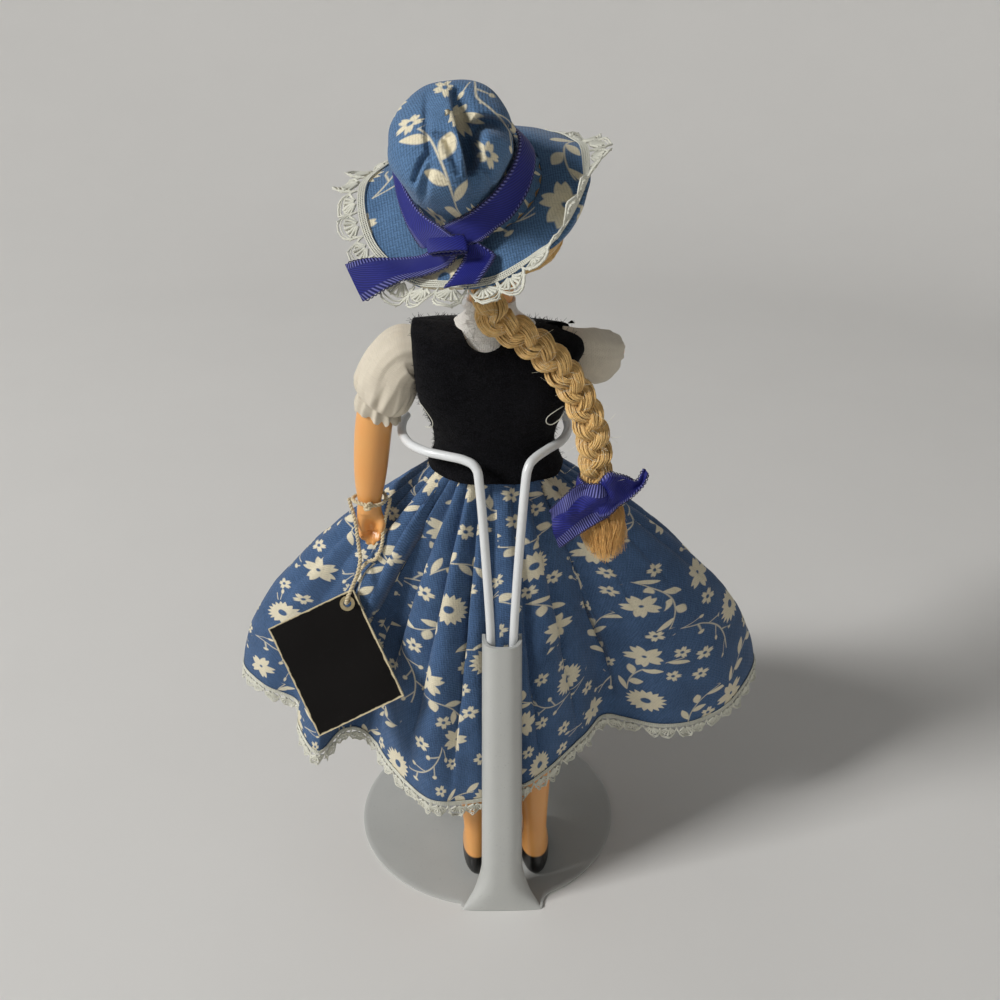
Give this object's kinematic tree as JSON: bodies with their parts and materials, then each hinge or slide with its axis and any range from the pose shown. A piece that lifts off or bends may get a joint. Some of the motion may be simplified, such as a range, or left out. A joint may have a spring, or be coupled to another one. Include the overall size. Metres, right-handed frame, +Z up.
{
  "type": "costume doll",
  "caption": "Small costume doll in a felt bodice, gathered flower-print skirt and lace-edged bonnet, held at the waist by a wire clasp on a round metal display stand.",
  "frame": {"origin": "on the underside of the stand's disc, below the middle of its post", "axes": "+Z up, the doll faces -Y, its left side is +X"},
  "size_m": [0.141, 0.0966, 0.2024],
  "materials": {
    "stand_coat": "satin grey coating on pressed sheet",
    "wire_coat": "satin pale grey coating on wire",
    "skin_plastic": "glossy flesh-coloured hard plastic",
    "elastic": "matt elastic",
    "peg_metal": "plain",
    "hair": "blonde synthetic hair, slight sheen",
    "ribbon": "satin woven ribbon with picot edge",
    "felt": "matt black felt",
    "blouse_cloth": "matt white cotton",
    "sleeve_cloth": "matt cream cotton",
    "skirt_print": "blue cotton printed with cream flowers",
    "bonnet_print": "paler blue cotton printed with cream flowers",
    "lace": "off-white cotton lace",
    "card_black": "black coated card, satin",
    "card_cream": "cream paper, matt",
    "eyelet_metal": "pale pressed eyelet",
    "cord": "two-ply twisted cord, matt"
  },
  "bodies": {
    "stand": {"stand_base": "stand_coat"},
    "clasp": {"stand_wire": "wire_coat"},
    "doll": {"doll_body": "skin_plastic", "arm_elastic": "elastic", "hair_cap": "hair", "braid": "hair", "braid_tuft": "hair", "braid_bow": "ribbon", "blouse": "blouse_cloth", "bodice": "felt", "front_bow": "ribbon", "skirt": "skirt_print", "skirt_lace": "lace", "bonnet_crown": "bonnet_print", "bonnet_brim": "bonnet_print", "bonnet_lace": "lace", "bonnet_band": "ribbon", "bonnet_knot": "ribbon", "bonnet_tails": "ribbon"},
    "left_arm": {"left_arm": "skin_plastic", "left_arm_peg": "peg_metal", "left_sleeve": "sleeve_cloth", "left_cuff": "sleeve_cloth", "wrist_loop": "cord"},
    "right_arm": {"right_arm": "skin_plastic", "right_arm_peg": "peg_metal", "right_sleeve": "sleeve_cloth", "right_cuff": "sleeve_cloth"},
    "tag": {"tag_cord": "cord", "tag_cover": "card_black", "tag_pages": "card_cream", "tag_eyelet": "eyelet_metal"}
  },
  "joints": [
    {"name": "clasp_height", "type": "slide", "parent": "stand", "child": "clasp", "axis": [0, 0, 1], "range_m": [0, 0.012]},
    {"name": "doll_lift_out", "type": "slide", "parent": "clasp", "child": "doll", "axis": [0, -1, 0], "range_m": [0, 0.06]},
    {"name": "left_shoulder", "type": "hinge", "parent": "doll", "child": "left_arm", "pos_m": [0.01783, 0.018, 0.147], "axis": [1, 0, 0], "range_deg": [0, 100]},
    {"name": "right_shoulder", "type": "hinge", "parent": "doll", "child": "right_arm", "pos_m": [-0.01417, 0.018, 0.147], "axis": [1, 0, 0], "range_deg": [-100, 28]},
    {"name": "tag_swing", "type": "hinge", "parent": "left_arm", "child": "tag", "pos_m": [0.02993, 0.0187, 0.112], "axis": [1, 0, 0], "range_deg": [-100, 0]}
  ],
  "couplings": [
    {"joint": "tag_swing", "follows": "left_shoulder", "ratio": -1}
  ]
}
